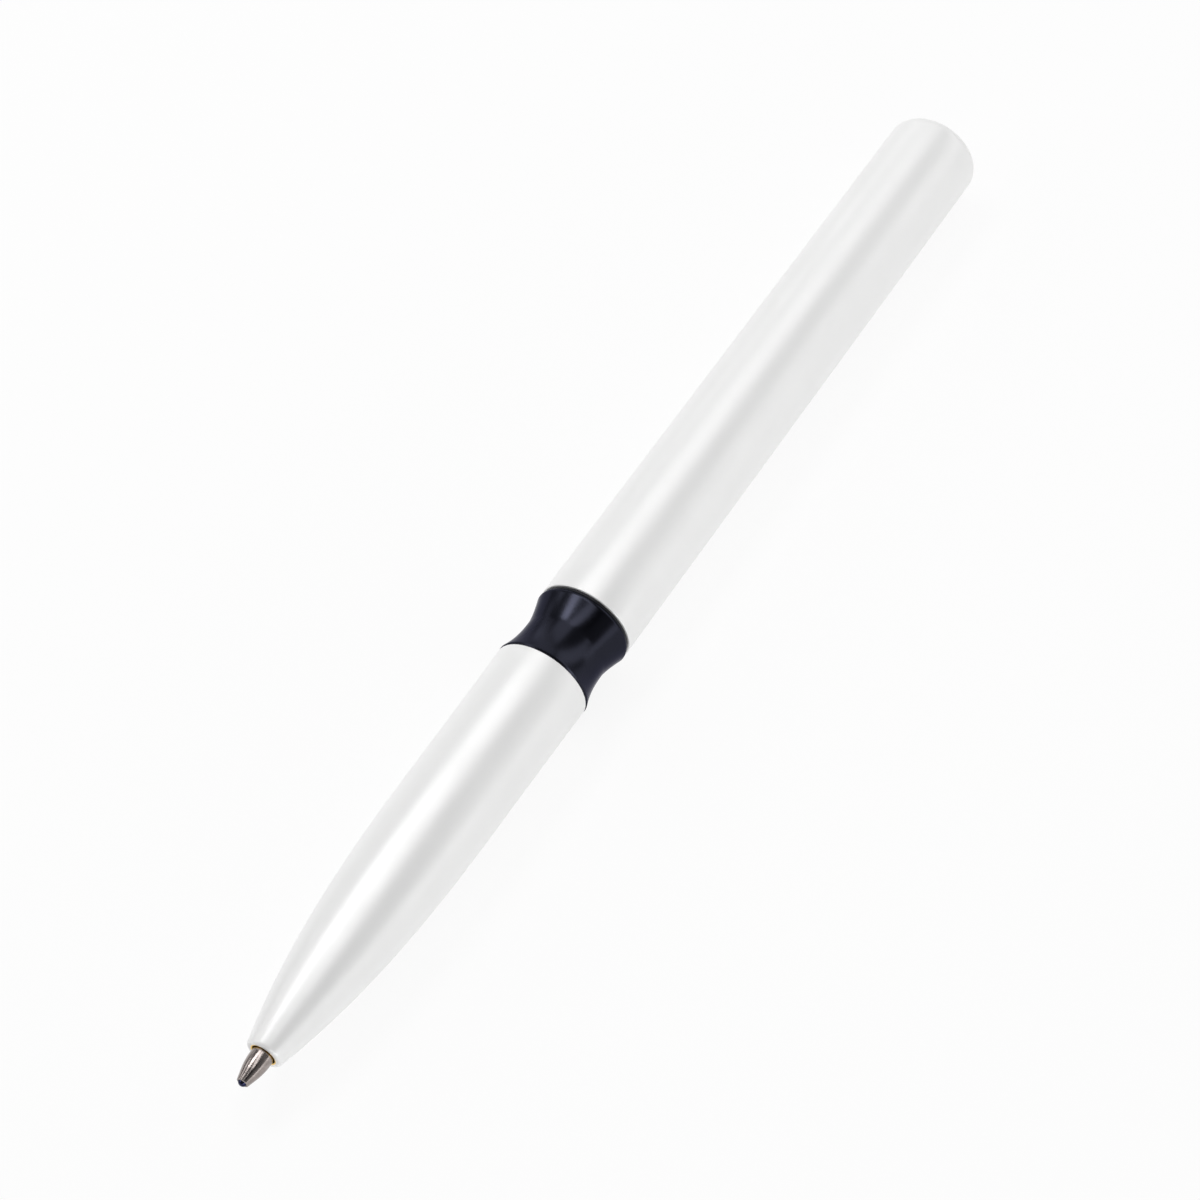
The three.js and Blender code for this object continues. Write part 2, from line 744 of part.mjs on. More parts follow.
// End plug with a vent through it and notches across its head
function refillPlug() {
  const spigot = tubeBore - PRESS_GAP;
  const body = solid(
    turned(
      [
        [REFILL_LENGTH, PLUG_VENT],
        [plugStart - PLUG_SPIGOT, PLUG_VENT],
        [plugStart - PLUG_SPIGOT, spigot],
        [plugStart, spigot],
        [plugStart, REFILL_RADIUS],
        [REFILL_LENGTH, REFILL_RADIUS],
      ],
      INNER_SIDES,
    ),
  );
  const notchAt = REFILL_LENGTH - PLUG_NOTCH_DEPTH / 2 + FACE_GAP;
  const reach = [(PLUG_VENT + REFILL_RADIUS) / 2, REFILL_RADIUS + REFILL_WALL];
  const depth = PLUG_NOTCH_DEPTH + 2 * FACE_GAP;
  const notched = Array.from({ length: PLUG_NOTCHES }, (_, i) =>
    spoke(notchAt, depth, PLUG_NOTCH, ...reach, (2 * Math.PI * i) / PLUG_NOTCHES),
  ).reduce((left, cutter) => left.subtract(cutter), body);
  return part("refill_plug", "naturalPlastic", geometryOf(notched));
}

// Ink in the tube and down the neck to the tip's shank
function ink() {
  const thread = NECK_BORE - PRESS_GAP;
  const column = tubeBore - PRESS_GAP;
  return part(
    "ink",
    "inkBlue",
    turned(
      [
        [neckStart + SHANK_LENGTH + 2 * FACE_GAP, 0],
        [inkEnd, 0],
        [inkEnd, column],
        [inkStart, column],
        [inkStart, thread],
        [neckStart + SHANK_LENGTH + 2 * FACE_GAP, thread],
      ],
      INNER_SIDES,
    ),
  );
}

// Grease that follows the ink down the tube
function inkFollower() {
  const start = inkEnd + FACE_GAP;
  return part(
    "ink_follower",
    "grease",
    turned(
      [
        [start, 0],
        [start, tubeBore - PRESS_GAP],
        [start + FOLLOWER_LENGTH, tubeBore - PRESS_GAP],
        [start + FOLLOWER_LENGTH, 0],
      ],
      INNER_SIDES,
    ),
  );
}

// Spring between the barrel's seat and the neck's shoulder, one unbroken wire. It also gives the
// least gap between one coil and the next, measured on the points of the wire's middle.
function returnSpring() {
  const start = springSeat + FACE_GAP + WIRE_RADIUS;
  const end = NECK_FLANGE - FACE_GAP - WIRE_RADIUS;
  const steps = SPRING_COILS * COIL_STEPS;
  const middles = [];
  const rings = [];
  for (let step = 0; step <= steps; step++) {
    const station = start + ((end - start) * step) / steps;
    const angle = (2 * Math.PI * step) / COIL_STEPS;
    middles.push(aroundAxis(station, SPRING_RADIUS, angle));
    const ring = [];
    for (let side = 0; side < WIRE_SIDES; side++) {
      const round = (2 * Math.PI * side) / WIRE_SIDES;
      const along = WIRE_RADIUS * Math.cos(round);
      const out = WIRE_RADIUS * Math.sin(round);
      ring.push(aroundAxis(station + along, SPRING_RADIUS + out, angle));
    }
    rings.push(ring);
  }
  let least = Infinity;
  for (let i = 0; i + COIL_STEPS / 2 <= steps; i++) {
    for (let j = i + COIL_STEPS / 2; j <= steps; j++) {
      least = Math.min(least, middles[i].distanceTo(middles[j]) - 2 * WIRE_RADIUS);
    }
  }
  console.log("least gap between the spring's coils: " + least.toFixed(3) + " mm");
  return part("return_spring", "springSteel", geometryOf(solid(swept(rings))));
}

const pen = new THREE.Group();
pen.name = "twist_pen";
pen.add(
  frontBarrel(),
  centreRing(),
  slipWasher(),
  threadBush(),
  threadedCollar(),
  guideSleeve(),
  frictionRing(),
  retainingClip(),
  returnSpring(),
  rearBarrel(),
  rotorCasing(),
  camSleeve(),
  casingCap(),
  driver(),
  refillTube(),
  refillNeck(),
  tipCone(),
  refillPlug(),
  ink(),
  inkFollower(),
  writingBall(),
);
pen.position.set(-barrelEnd / 2, 0, barrelRadius * Math.cos(Math.PI / SHELL_SIDES));

export default pen;
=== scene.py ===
"""The looks of a twist-action ballpoint pen, built round its packed construction.

Sizes are in millimetres. Stations run along the pen from the point of the ball, at 0, to the
closed end. A finished mesh is brought into the frame, which is in metres, as its last step.
"""

import logging
import math
from collections.abc import Callable, Sequence
from dataclasses import dataclass, field
from enum import Enum

import bmesh
import bpy
from mathutils import Matrix, Vector

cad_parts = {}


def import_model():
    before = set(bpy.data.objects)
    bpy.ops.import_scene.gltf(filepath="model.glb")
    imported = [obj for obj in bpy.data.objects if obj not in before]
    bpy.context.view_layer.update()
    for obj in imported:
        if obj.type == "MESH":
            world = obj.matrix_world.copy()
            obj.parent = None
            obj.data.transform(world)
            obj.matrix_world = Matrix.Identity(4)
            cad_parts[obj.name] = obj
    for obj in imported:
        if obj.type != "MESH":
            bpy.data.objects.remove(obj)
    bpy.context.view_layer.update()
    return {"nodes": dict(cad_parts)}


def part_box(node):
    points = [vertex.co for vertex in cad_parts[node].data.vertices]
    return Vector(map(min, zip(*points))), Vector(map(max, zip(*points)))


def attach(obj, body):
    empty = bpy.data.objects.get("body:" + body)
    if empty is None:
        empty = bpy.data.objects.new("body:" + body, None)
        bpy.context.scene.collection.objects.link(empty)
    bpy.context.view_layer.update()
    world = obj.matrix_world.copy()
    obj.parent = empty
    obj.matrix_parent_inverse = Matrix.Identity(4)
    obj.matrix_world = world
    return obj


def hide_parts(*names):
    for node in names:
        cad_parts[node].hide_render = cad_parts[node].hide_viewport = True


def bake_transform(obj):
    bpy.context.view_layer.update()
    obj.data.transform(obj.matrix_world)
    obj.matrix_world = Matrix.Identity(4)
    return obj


LOG = logging.getLogger("pen")

MM = 0.001  # a millimetre in metres
TURN_STEPS = 128  # facets round a shell
SMALL_TURN_STEPS = 64  # facets round the metal point
FILLET_SEGMENTS = 8  # straight stretches in a fillet
LONGEST_STEP = 4.0  # a longer straight stretch is divided
WELD = 1e-4  # vertices closer than this are joined
SHARP_ANGLE = math.radians(35.0)  # a steeper edge is shaded sharp
FACE_GAP = 0.05  # between faces that meet end to end
PRESS_GAP = 0.02  # between pressed faces
WHITE = (1.0, 1.0, 1.0, 1.0)

Colour = tuple[float, float, float]
Place = tuple[float, float, float]
WireRing = list[bmesh.types.BMVert | bmesh.types.BMEdge]


def add_object(name: str, data: bpy.types.ID) -> bpy.types.Object:
    """Add an object to the scene.

    Args:
        name: the object's name.
        data: its mesh, lamp or camera.

    Returns:
        The new object, at the origin.
    """
    piece = bpy.data.objects.new(name, data)
    bpy.context.scene.collection.objects.link(piece)
    return piece


@dataclass(frozen=True)
class PenFrame:
    """Where the pen lies in the frame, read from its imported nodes.

    point_x: the ball's point, in metres.
    axis_z: the height of the pen's axis, in metres.
    """

    point_x: float
    axis_z: float

    @classmethod
    def read(cls) -> "PenFrame":
        """Read the pen's place from the ball and the rear barrel."""
        barrel_low, barrel_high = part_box("rear_barrel")
        return cls(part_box("writing_ball")[0].x, (barrel_low.z + barrel_high.z) / 2)

    def stations(self, node: str) -> tuple[float, float]:
        """Find where a node starts and ends along the pen.

        Args:
            node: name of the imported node.

        Returns:
            Its first and last station.
        """
        low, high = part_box(node)
        return (low.x - self.point_x) / MM, (high.x - self.point_x) / MM

    def radius(self, node: str) -> float:
        """Measure a turned node's outer radius, flat to flat."""
        return (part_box(node)[1].z - self.axis_z) / MM

    def place(self, station: float) -> Vector:
        """Give the point of the pen's axis at a station, in the frame."""
        return Vector((self.point_x + station * MM, 0.0, self.axis_z))

    def placing(self) -> Matrix:
        """Give the matrix that brings a mesh from stations and radii into the frame."""
        return Matrix.Translation(self.place(0.0)) @ Matrix.Scale(MM, 4)


@dataclass(frozen=True)
class Corner:
    """A corner of a turned piece's outline.

    station: its place along the pen.
    radius: its distance from the pen's axis.
    fillet: radius of the arc that rounds it, or 0 for a sharp corner.
    """

    station: float
    radius: float
    fillet: float = 0.0

    def point(self) -> Vector:
        """Give the corner as a point above the pen's axis."""
        return Vector((self.station, 0.0, self.radius))


class Lathe:
    """Turns outlines round the pen's axis and brings the pieces into the frame."""

    def __init__(self, pen: PenFrame) -> None:
        """Set the lathe up for a pen."""
        self.pen = pen

    def turn(self, name: str, outline: Sequence[Corner], steps: int = TURN_STEPS) -> bpy.types.Object:
        """Spin an outline round the axis.

        Args:
            name: the new piece's name.
            outline: its corners in order. It closes on itself unless both ends lie on the axis.
            steps: facets round the piece.

        Returns:
            The finished piece.
        """
        work = bmesh.new()
        corners = [work.verts.new(corner.point()) for corner in outline]
        for first, second in zip(corners, corners[1:]):
            work.edges.new((first, second))
        if outline[0].radius > 0 or outline[-1].radius > 0:
            work.edges.new((corners[-1], corners[0]))
        self._round_corners(work, corners, outline)
        self._divide(work)
        bmesh.ops.spin(
            work,
            geom=work.verts[:] + work.edges[:],
            cent=(0, 0, 0),
            axis=(1, 0, 0),
            dvec=(0, 0, 0),
            angle=2 * math.pi,
            steps=steps,
            use_merge=True,
            use_duplicate=False,
        )
        return self.finish(name, work)

    def finish(self, name: str, work: bmesh.types.BMesh) -> bpy.types.Object:
        """Close a worked mesh, bring it into the frame and make it an object.

        Args:
            name: the new piece's name.
            work: the mesh, in stations and radii. It is freed.

        Returns:
            The piece, at the origin, with its place in its mesh.
        """
        bmesh.ops.remove_doubles(work, verts=work.verts, dist=WELD)
        bmesh.ops.recalc_face_normals(work, faces=work.faces)
        bmesh.ops.transform(work, matrix=self.pen.placing(), verts=work.verts)
        for face in work.faces:
            face.smooth = True
        mesh = bpy.data.meshes.new(name)
        work.to_mesh(mesh)
        work.free()
        mesh.set_sharp_from_angle(angle=SHARP_ANGLE)
        return add_object(name, mesh)

    @staticmethod
    def _round_corners(
        work: bmesh.types.BMesh, corners: Sequence[bmesh.types.BMVert], outline: Sequence[Corner]
    ) -> None:
        """Bevel each corner that has a fillet into an arc.

        Args:
            work: the mesh that holds the outline.
            corners: its vertices, in order.
            outline: the same corners with their fillets.
        """
        count = len(outline)
        for index, corner in enumerate(outline):
            if corner.fillet == 0:
                continue
            before = outline[index - 1].point() - corner.point()
            after = outline[(index + 1) % count].point() - corner.point()
            tangent = corner.fillet / math.tan(before.angle(after) / 2)
            bmesh.ops.bevel(
                work,
                geom=[corners[index]],
                offset=tangent,
                offset_type="OFFSET",
                segments=FILLET_SEGMENTS,
                profile=0.5,
                affect="VERTICES",
                material=-1,
            )

    @staticmethod
    def _divide(work: bmesh.types.BMesh) -> None:
        """Divide long straight stretches, so that their shading stays even.

        Args:
            work: the mesh that holds the outline.
        """
        for edge in work.edges[:]:
            cuts = int(edge.calc_length() / LONGEST_STEP)
            if cuts > 0:
                bmesh.ops.subdivide_edges(work, edges=[edge], cuts=cuts)


class Blend(Enum):
    """What a Mix node blends: its kind, its two inputs' places and its result's place."""

    NUMBERS = ("FLOAT", 2, 3, 0)
    COLOURS = ("RGBA", 6, 7, 2)


class Wiring:
    """Adds nodes to one node tree and joins their sockets."""

    def __init__(self, tree: bpy.types.NodeTree) -> None:
        """Work on a node tree."""
        self.tree = tree

    def add(self, kind: str, **settings: object) -> bpy.types.Node:
        """Add a node.

        Args:
            kind: Blender's name of the node's type.
            settings: values of the node's own settings.

        Returns:
            The new node.
        """
        node = self.tree.nodes.new(kind)
        for name, value in settings.items():
            setattr(node, name, value)
        return node

    def feed(self, node: bpy.types.Node, **sources: object) -> bpy.types.Node:
        """Set or join a node's inputs, named in lower case with _ for a space.

        Args:
            node: the node to feed.
            sources: for each input, an output socket or a plain value.

        Returns:
            The same node.
        """
        for name, source in sources.items():
            socket = next(s for s in node.inputs if s.name.lower().replace(" ", "_") == name)
            self._give(source, socket)
        return node

    def sum(self, operation: str, *values: object) -> bpy.types.NodeSocket:
        """Work a number out with a Math node.

        Args:
            operation: Blender's name of the sum.
            values: output sockets or plain numbers, in order.

        Returns:
            The socket that holds the result.
        """
        node = self.add("ShaderNodeMath", operation=operation)
        for socket, value in zip(node.inputs, values):
            self._give(value, socket)
        return node.outputs[0]

    def mix(
        self, blend: Blend, share: bpy.types.NodeSocket, first: object, second: object
    ) -> bpy.types.NodeSocket:
        """Blend two numbers or two colours with a Mix node.

        Args:
            blend: which of the two it is.
            share: how much of the second one shows.
            first: an output socket or a plain value.
            second: an output socket or a plain value.

        Returns:
            The socket that holds the result.
        """
        kind, first_place, second_place, result_place = blend.value
        node = self.add("ShaderNodeMix", data_type=kind)
        self._give(share, node.inputs["Factor"])
        self._give(first, node.inputs[first_place])
        self._give(second, node.inputs[second_place])
        return node.outputs[result_place]

    def _give(self, source: object, socket: bpy.types.NodeSocket) -> None:
        """Join an output to an input, or set the input's own value.

        Args:
            source: an output socket or a plain value.
            socket: the input.
        """
        if isinstance(source, bpy.types.NodeSocket):
            self.tree.links.new(source, socket)
        else:
            socket.default_value = source


class Effect(Enum):
    """Effects that several finishes share. Each is a shader node group."""

    PEEL = "lacquer_peel"
    MARKS = "turning_marks"
    GRAIN = "moulded_grain"
    CLOUDS = "soft_clouds"
    INSIDE = "inside_radius"

    def group(self) -> bpy.types.NodeTree:
        """Give the effect's node group, which is built the first time."""
        return bpy.data.node_groups.get(self.value) or EFFECT_BUILDERS[self]()

    def place(self, wiring: Wiring, **sources: object) -> bpy.types.Node:
        """Put the effect in a material.

        Args:
            wiring: the material's wiring.
            sources: for each input, an output socket or a plain value.

        Returns:
            The group's node.
        """
        node = wiring.add("ShaderNodeGroup", node_tree=self.group())
        return wiring.feed(node, **sources)


PATTERN_INPUTS = {"Vector": "NodeSocketVector", "Size": "NodeSocketFloat"}
HEIGHT_OUTPUT = {"Height": "NodeSocketFloat"}


def new_group(
    effect: Effect, inputs: dict[str, str], outputs: dict[str, str]
) -> tuple[Wiring, bpy.types.Node, bpy.types.Node]:
    """Start an effect's node group.

    Args:
        effect: the effect that the group makes.
        inputs: kind of socket for each input's name.
        outputs: kind of socket for each output's name.

    Returns:
        The group's wiring, its input node and its output node.
    """
    tree = bpy.data.node_groups.new(effect.value, "ShaderNodeTree")
    for name, kind in inputs.items():
        tree.interface.new_socket(name, in_out="INPUT", socket_type=kind)
    for name, kind in outputs.items():
        tree.interface.new_socket(name, in_out="OUTPUT", socket_type=kind)
    wiring = Wiring(tree)
    return wiring, wiring.add("NodeGroupInput"), wiring.add("NodeGroupOutput")


def build_peel() -> bpy.types.NodeTree:
    """Build the faint waviness that sprayed lacquer dries with.

    Returns:
        The group's node tree.
    """
    wiring, given, made = new_group(Effect.PEEL, PATTERN_INPUTS, HEIGHT_OUTPUT)
    scale = wiring.sum("DIVIDE", 1.0, given.outputs["Size"])
    waves = wiring.add("ShaderNodeTexNoise")
    wiring.feed(waves, vector=given.outputs["Vector"], scale=scale, detail=1.5, roughness=0.4)
    wiring.feed(made, height=waves.outputs["Fac"])
    return wiring.tree


def build_marks() -> bpy.types.NodeTree:
    """Build the fine rings that a cutting tool leaves round a turned piece.

    Returns:
        The group's node tree.
    """
    wiring, given, made = new_group(Effect.MARKS, PATTERN_INPUTS, HEIGHT_OUTPUT)
    along = wiring.add("ShaderNodeSeparateXYZ")
    wiring.feed(along, vector=given.outputs["Vector"])
    station = wiring.sum("DIVIDE", along.outputs["X"], given.outputs["Size"])
    rings = wiring.add("ShaderNodeTexNoise", noise_dimensions="1D")
    wiring.feed(rings, w=station, scale=1.0, detail=3.0, roughness=0.6)
    wiring.feed(made, height=rings.outputs["Fac"])
    return wiring.tree


def build_grain() -> bpy.types.NodeTree:
    """Build the fine pitted skin of a moulded piece.

    Returns:
        The group's node tree.
    """
    wiring, given, made = new_group(Effect.GRAIN, PATTERN_INPUTS, HEIGHT_OUTPUT)
    scale = wiring.sum("DIVIDE", 1.0, given.outputs["Size"])
    pits = wiring.add("ShaderNodeTexVoronoi", feature="SMOOTH_F1")
    wiring.feed(pits, vector=given.outputs["Vector"], scale=scale, smoothness=0.6)
    wiring.feed(made, height=pits.outputs["Distance"])
    return wiring.tree


def build_clouds() -> bpy.types.NodeTree:
    """Build a soft drift between two colours, with the drift as a mask.

    Returns:
        The group's node tree.
    """
    wiring, given, made = new_group(
        Effect.CLOUDS,
        {**PATTERN_INPUTS, "First": "NodeSocketColor", "Second": "NodeSocketColor"},
        {"Colour": "NodeSocketColor", "Mask": "NodeSocketFloat"},
    )
    scale = wiring.sum("DIVIDE", 1.0, given.outputs["Size"])
    drift = wiring.add("ShaderNodeTexNoise")
    wiring.feed(drift, vector=given.outputs["Vector"], scale=scale, detail=3.0, roughness=0.5)
    spread = wiring.add("ShaderNodeMapRange", interpolation_type="SMOOTHSTEP")
    wiring.feed(spread, value=drift.outputs["Fac"], from_min=0.3, from_max=0.7)
    mask = spread.outputs["Result"]
    colour = wiring.mix(Blend.COLOURS, mask, given.outputs["First"], given.outputs["Second"])
    wiring.feed(made, colour=colour, mask=mask)
    return wiring.tree


def build_inside() -> bpy.types.NodeTree:
    """Build a mask that is 1 closer to the pen's axis than a radius.

    Returns:
        The group's node tree.
    """
    wiring, given, made = new_group(
        Effect.INSIDE,
        {
            "Vector": "NodeSocketVector",
            "Radius": "NodeSocketFloat",
            "Softness": "NodeSocketFloat",
        },
        {"Mask": "NodeSocketFloat"},
    )
    across = wiring.add("ShaderNodeVectorMath", operation="MULTIPLY")
    wiring.tree.links.new(given.outputs["Vector"], across.inputs[0])
    across.inputs[1].default_value = (0.0, 1.0, 1.0)
    length = wiring.add("ShaderNodeVectorMath", operation="LENGTH")
    wiring.tree.links.new(across.outputs[0], length.inputs[0])
    beyond = wiring.sum("SUBTRACT", length.outputs["Value"], given.outputs["Radius"])
    share = wiring.sum("DIVIDE", beyond, given.outputs["Softness"])
    fade = wiring.add("ShaderNodeClamp")
    wiring.feed(fade, value=share, min=0.0, max=1.0)
    wiring.feed(made, mask=wiring.sum("SUBTRACT", 1.0, fade.outputs["Result"]))
    return wiring.tree


EFFECT_BUILDERS: dict[Effect, Callable[[], bpy.types.NodeTree]] = {
    Effect.PEEL: build_peel,
    Effect.MARKS: build_marks,
    Effect.GRAIN: build_grain,
    Effect.CLOUDS: build_clouds,
    Effect.INSIDE: build_inside,
}


def new_material(name: str) -> tuple[bpy.types.Material, Wiring]:
    """Start a material without nodes.

    Args:
        name: the material's name.

    Returns:
        The material and its wiring.
    """
    material = bpy.data.materials.new(name)
    material.use_nodes = True
    material.node_tree.nodes.clear()
    return material, Wiring(material.node_tree)


@dataclass(frozen=True)
class Relief:
    """The fine shape of a surface.

    effect: the effect that gives its height.
    size: how wide one feature is.
    depth: how deep it is.
    """

    effect: Effect
    size: float
    depth: float


@dataclass(frozen=True)
class Finish:
    """How one material of the pen looks.

    name: the material's name.
    slot: the record's material slot; not used.
    colour: its main colour.
    shade: the colour that it drifts to in places.
    roughness: its roughness where the drift is least.
    wear: how much rougher it is where the drift is greatest.
    relief: its fine shape.
    metallic: 1 for bare metal, 0 for plain plastic or paint, between them for a pearly paint.
    gloss: level of its mirror-like reflection, 0.5 for a common plastic or paint.
    tint: colour of that reflection.
    translucence: weight of the light that scatters inside.
    cloud_size: how wide one drift is.
    """

    name: str
    slot: str
    colour: Colour
    shade: Colour
    roughness: float
    wear: float
    relief: Relief
    metallic: float = 0.0
    gloss: float = 0.5
    tint: Colour = (1.0, 1.0, 1.0)
    translucence: float = 0.0
    cloud_size: float = 6.0

    def material(self, pen: PenFrame) -> bpy.types.Material:
        """Build the finish's material.

        Args:
            pen: where the pen lies.

        Returns:
            The material.
        """
        material, wiring = new_material(self.name)
        shader = wiring.add("ShaderNodeBsdfPrincipled")
        output = wiring.add("ShaderNodeOutputMaterial")
        wiring.feed(output, surface=shader.outputs["BSDF"])
        where = self._coordinates(wiring, pen)
        clouds = Effect.CLOUDS.place(
            wiring,
            vector=where,
            size=self.cloud_size,
            first=(*self.colour, 1.0),
            second=(*self.shade, 1.0),
        )
        rough = wiring.add("ShaderNodeMapRange")
        wiring.feed(
            rough,
            value=clouds.outputs["Mask"],
            to_min=self.roughness,
            to_max=self.roughness + self.wear,
        )
        wiring.feed(
            shader,
            base_color=clouds.outputs["Colour"],
            metallic=self.metallic,
            roughness=rough.outputs["Result"],
            specular_ior_level=self.gloss,
            specular_tint=(*self.tint, 1.0),
            subsurface_weight=self.translucence,
            subsurface_scale=MM,
        )
        self._add_relief(wiring, shader, where)
        self.detail(wiring, shader, where)
        return material

    def detail(
        self, wiring: Wiring, shader: bpy.types.Node, where: bpy.types.NodeSocket
    ) -> None:
        """Add what only this finish has. A plain finish adds nothing."""

    def _add_relief(
        self, wiring: Wiring, shader: bpy.types.Node, where: bpy.types.NodeSocket
    ) -> None:
        """Feed the relief to the shader's normal.

        Args:
            wiring: the material's wiring.
            shader: its shader.
            where: the place on the pen.
        """
        relief = self.relief.effect.place(wiring, vector=where, size=self.relief.size)
        bump = wiring.add("ShaderNodeBump")
        wiring.feed(
            bump, height=relief.outputs["Height"], strength=1.0, distance=self.relief.depth * MM
        )
        wiring.feed(shader, normal=bump.outputs["Normal"])

    @staticmethod
    def _coordinates(wiring: Wiring, pen: PenFrame) -> bpy.types.NodeSocket:
        """Give the place on the pen: X is the station, and Y and Z run across from the axis.

        Args:
            wiring: the material's wiring.
            pen: where the pen lies.

        Returns:
            The socket that holds the place, in millimetres.
        """
        source = wiring.add("ShaderNodeTexCoord")
        mapping = wiring.add("ShaderNodeMapping")
        wiring.feed(
            mapping,
            vector=source.outputs["Object"],
            location=-pen.place(0.0) / MM,
            scale=(1 / MM, 1 / MM, 1 / MM),
        )
        return mapping.outputs["Vector"]


@dataclass(frozen=True)
class Lacquer(Finish):
    """Lacquer on brass, which stops at the edge of a bore.

    bare_colour: the brass under the lacquer.
    bare_radius: the brass shows closer to the pen's axis than this.
    bare_edge: how wide the change from brass to lacquer is.
    bare_end: the brass shows no further back than this station.
    bare_roughness: roughness of the brass.
    """

    bare_colour: Colour = (0.85, 0.56, 0.14)
    bare_radius: float = 1.39
    bare_edge: float = 0.03
    bare_end: float = 9.0
    bare_roughness: float = 0.28

    def detail(
        self, wiring: Wiring, shader: bpy.types.Node, where: bpy.types.NodeSocket
    ) -> None:
        """Bare the brass inside a radius near the point.

        Args:
            wiring: the material's wiring.
            shader: its shader.
            where: the place on the pen.
        """
        inside = Effect.INSIDE.place(
            wiring, vector=where, radius=self.bare_radius, softness=self.bare_edge
        )
        along = wiring.add("ShaderNodeSeparateXYZ")
        wiring.feed(along, vector=where)
        in_front = wiring.sum("LESS_THAN", along.outputs["X"], self.bare_end)
        mask = wiring.sum("MULTIPLY", inside.outputs["Mask"], in_front)
        paint = shader.inputs["Base Color"].links[0].from_socket
        satin = shader.inputs["Roughness"].links[0].from_socket
        wiring.feed(
            shader,
            base_color=wiring.mix(Blend.COLOURS, mask, paint, (*self.bare_colour, 1.0)),
            roughness=wiring.mix(Blend.NUMBERS, mask, satin, self.bare_roughness),
            metallic=wiring.sum("MAXIMUM", mask, self.metallic),
        )


WHITE_LACQUER = Lacquer(
    name="satin_white_lacquer",
    slot="white_lacquer",
    colour=(0.93, 0.93, 0.926),
    shade=(0.92, 0.92, 0.916),
    roughness=0.4,
    wear=0.05,
    relief=Relief(Effect.PEEL, 0.5, 0.0012),
    metallic=0.3,
)
BLACK_GLOSS = Finish(
    name="polished_blue_black",
    slot="black_gloss",
    colour=(0.02, 0.021, 0.03),
    shade=(0.025, 0.0262, 0.037),
    roughness=0.22,
    wear=0.08,
    relief=Relief(Effect.MARKS, 0.25, 0.0006),
    metallic=1.0,
    tint=(0.55, 0.55, 0.6),
)
BLACK_PLASTIC = Finish(
    name="moulded_black",
    slot="black_plastic",
    colour=(0.004, 0.004, 0.006),
    shade=(0.007, 0.007, 0.009),
    roughness=0.42,
    wear=0.1,
    relief=Relief(Effect.GRAIN, 0.12, 0.003),
    gloss=0.3,
    tint=(0.86, 0.88, 1.0),
)
BRASS = Finish(
    name="turned_brass",
    slot="brass",
    colour=(0.78, 0.57, 0.26),
    shade=(0.7, 0.49, 0.21),
    roughness=0.24,
    wear=0.12,
    relief=Relief(Effect.MARKS, 0.08, 0.002),
    metallic=1.0,
)
NATURAL_PLASTIC = Finish(
    name="moulded_natural",
    slot="natural_plastic",
    colour=(0.83, 0.81, 0.75),
    shade=(0.78, 0.76, 0.7),
    roughness=0.38,
    wear=0.1,
    relief=Relief(Effect.GRAIN, 0.15, 0.002),
    translucence=0.3,
)
SEAL_RUBBER = Finish(
    name="moulded_rubber",
    slot="seal_rubber",
    colour=(0.022, 0.022, 0.022),
    shade=(0.03, 0.03, 0.03),
    roughness=0.65,
    wear=0.15,
    relief=Relief(Effect.GRAIN, 0.06, 0.003),
)
SPRING_STEEL = Finish(
    name="drawn_wire",
    slot="spring_steel",
    colour=(0.62, 0.62, 0.63),
    shade=(0.52, 0.52, 0.54),
    roughness=0.2,
    wear=0.12,
    relief=Relief(Effect.PEEL, 0.05, 0.0006),
    metallic=1.0,
)
REFILL_STEEL = Finish(
    name="drawn_tube",
    slot="refill_steel",
    colour=(0.66, 0.66, 0.67),
    shade=(0.58, 0.58, 0.6),
    roughness=0.26,
    wear=0.1,
    relief=Relief(Effect.PEEL, 0.2, 0.001),
    metallic=1.0,
)
NICKEL_SILVER = Finish(
    name="turned_nickel_silver",
    slot="nickel_silver",
    colour=(0.37, 0.325, 0.31),
    shade=(0.29, 0.255, 0.24),
    roughness=0.2,
    wear=0.04,
    relief=Relief(Effect.MARKS, 0.12, 0.0001),
    metallic=1.0,
    cloud_size=0.6,
)
INK_PASTE = Finish(
    name="ink_paste",
    slot="ink",
    colour=(0.008, 0.012, 0.09),
    shade=(0.006, 0.009, 0.06),
    roughness=0.12,
    wear=0.1,
    relief=Relief(Effect.PEEL, 0.8, 0.003),
)
FOLLOWER_GREASE = Finish(
    name="follower_grease",
    slot="grease",
    colour=(0.7, 0.64, 0.45),
    shade=(0.62, 0.56, 0.38),
    roughness=0.2,
    wear=0.1,
    relief=Relief(Effect.PEEL, 0.7, 0.004),
    translucence=0.5,
)
CARBIDE = Finish(
    name="polished_carbide",
    slot="carbide",
    colour=(0.035, 0.037, 0.075),
    shade=(0.018, 0.02, 0.055),
    roughness=0.1,
    wear=0.06,
    relief=Relief(Effect.PEEL, 0.12, 0.0004),
    metallic=1.0,
    cloud_size=0.3,
)


